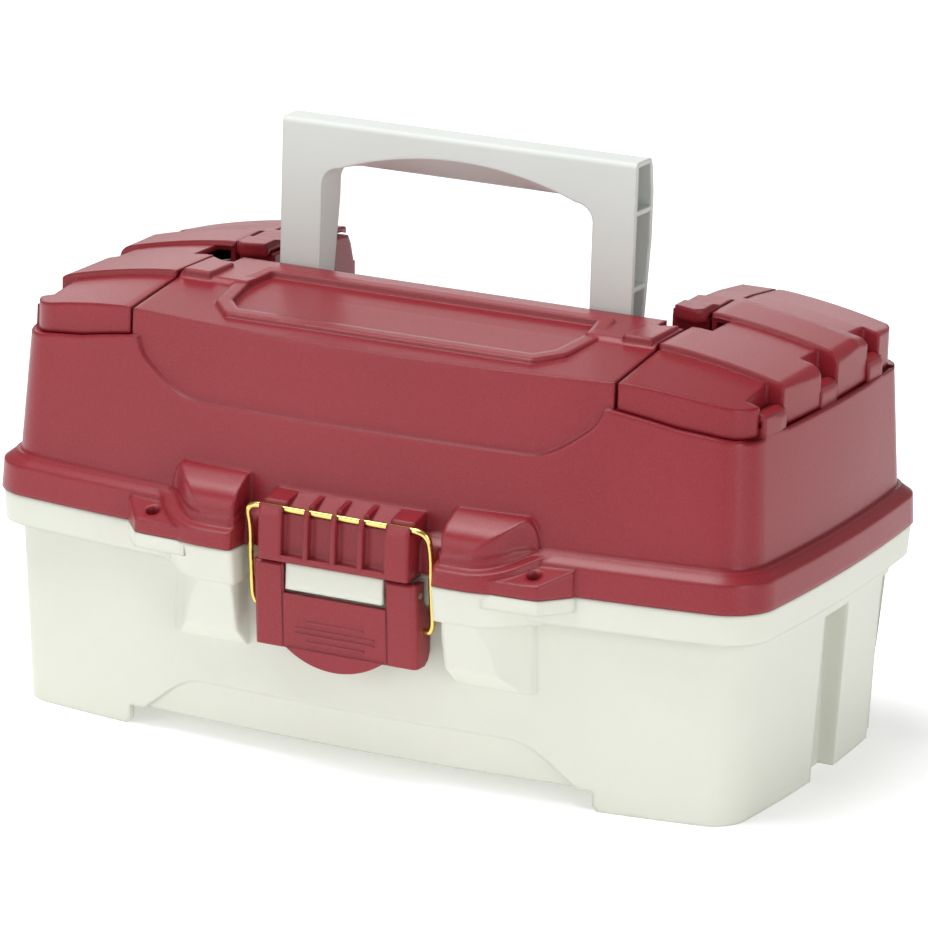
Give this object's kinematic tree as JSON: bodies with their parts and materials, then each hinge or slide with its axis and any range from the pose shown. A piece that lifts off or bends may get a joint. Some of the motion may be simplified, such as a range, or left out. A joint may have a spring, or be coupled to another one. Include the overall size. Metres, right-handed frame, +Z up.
{
  "type": "lure box",
  "caption": "Lure box with a hinged lid, a tray that rises with the lid, hatches over end bins, a wire bail latch and a folding handle.",
  "frame": {"origin": "centre of the footprint, on the plane of the feet, lid closed and handle up", "axes": "+X along the box to the end that is on the viewer's right, -Y towards the latch, +Z up"},
  "size_m": [0.3384, 0.2056, 0.236],
  "materials": {
    "lid_plastic": "fine sparkle, satin",
    "hatch_plastic": "fine sparkle, satin",
    "lever_plastic": "fine sparkle, satin",
    "base_plastic": "satin off-white",
    "handle_plastic": "satin light grey",
    "tray_plastic": "satin off-white",
    "divider_plastic": "satin off-white",
    "bail_wire": "bright plated wire",
    "steel_pins": "plain"
  },
  "bodies": {
    "base": {"base_tub": "base_plastic", "latch_pin": "steel_pins", "hinge_pins": "steel_pins", "arm_base_pins": "steel_pins"},
    "lid": {"lid_shell": "lid_plastic", "bin_left": "tray_plastic", "bin_right": "tray_plastic", "hatch_pins": "steel_pins", "handle_pins": "steel_pins", "tray_lid_pins": "steel_pins"},
    "hatch_left": {"hatch_left": "hatch_plastic"},
    "hatch_right": {"hatch_right": "hatch_plastic"},
    "handle": {"handle": "handle_plastic"},
    "lever": {"latch_lever": "lever_plastic"},
    "bail": {"wire_bail": "bail_wire"},
    "tray": {"tray": "tray_plastic", "divider_1": "divider_plastic", "divider_2": "divider_plastic", "divider_3": "divider_plastic", "divider_4": "divider_plastic", "arm_tray_pins": "steel_pins"},
    "arm_left": {"arm_left": "steel_pins"},
    "arm_right": {"arm_right": "steel_pins"}
  },
  "joints": [
    {"name": "lid_hinge", "type": "hinge", "parent": "base", "child": "lid", "pos_m": [0, 0.0986, 0.0873], "axis": [-1, 0, 0], "range_deg": [0, 100]},
    {"name": "hatch_left_hinge", "type": "hinge", "parent": "lid", "child": "hatch_left", "pos_m": [-0.1542, 0, 0.156], "axis": [0, -1, 0], "range_deg": [0, 92]},
    {"name": "hatch_right_hinge", "type": "hinge", "parent": "lid", "child": "hatch_right", "pos_m": [0.1542, 0, 0.156], "axis": [0, 1, 0], "range_deg": [0, 92]},
    {"name": "handle_hinge", "type": "hinge", "parent": "lid", "child": "handle", "pos_m": [0, 0.004, 0.16], "axis": [-1, 0, 0], "range_deg": [0, 90]},
    {"name": "lever_hinge", "type": "hinge", "parent": "base", "child": "lever", "pos_m": [0, -0.094, 0.08], "axis": [-1, 0, 0], "range_deg": [0, 90]},
    {"name": "bail_hinge", "type": "hinge", "parent": "lever", "child": "bail", "pos_m": [0, -0.0896, 0.0648], "axis": [-1, 0, 0], "range_deg": [-57, 0]},
    {"name": "tray_hinge", "type": "hinge", "parent": "lid", "child": "tray", "pos_m": [0, 0.0366, 0.08], "axis": [-1, 0, 0], "range_deg": [-100, 0]},
    {"name": "arm_left_hinge", "type": "hinge", "parent": "base", "child": "arm_left", "pos_m": [0, 0.072, 0.0613], "axis": [-1, 0, 0], "range_deg": [0, 100]},
    {"name": "arm_right_hinge", "type": "hinge", "parent": "base", "child": "arm_right", "pos_m": [0, 0.072, 0.0613], "axis": [-1, 0, 0], "range_deg": [0, 100]}
  ],
  "couplings": [
    {"joint": "bail_hinge", "follows": "lever_hinge", "ratio": -0.63},
    {"joint": "tray_hinge", "follows": "lid_hinge", "ratio": -1},
    {"joint": "arm_left_hinge", "follows": "lid_hinge", "ratio": 1},
    {"joint": "arm_right_hinge", "follows": "lid_hinge", "ratio": 1}
  ]
}
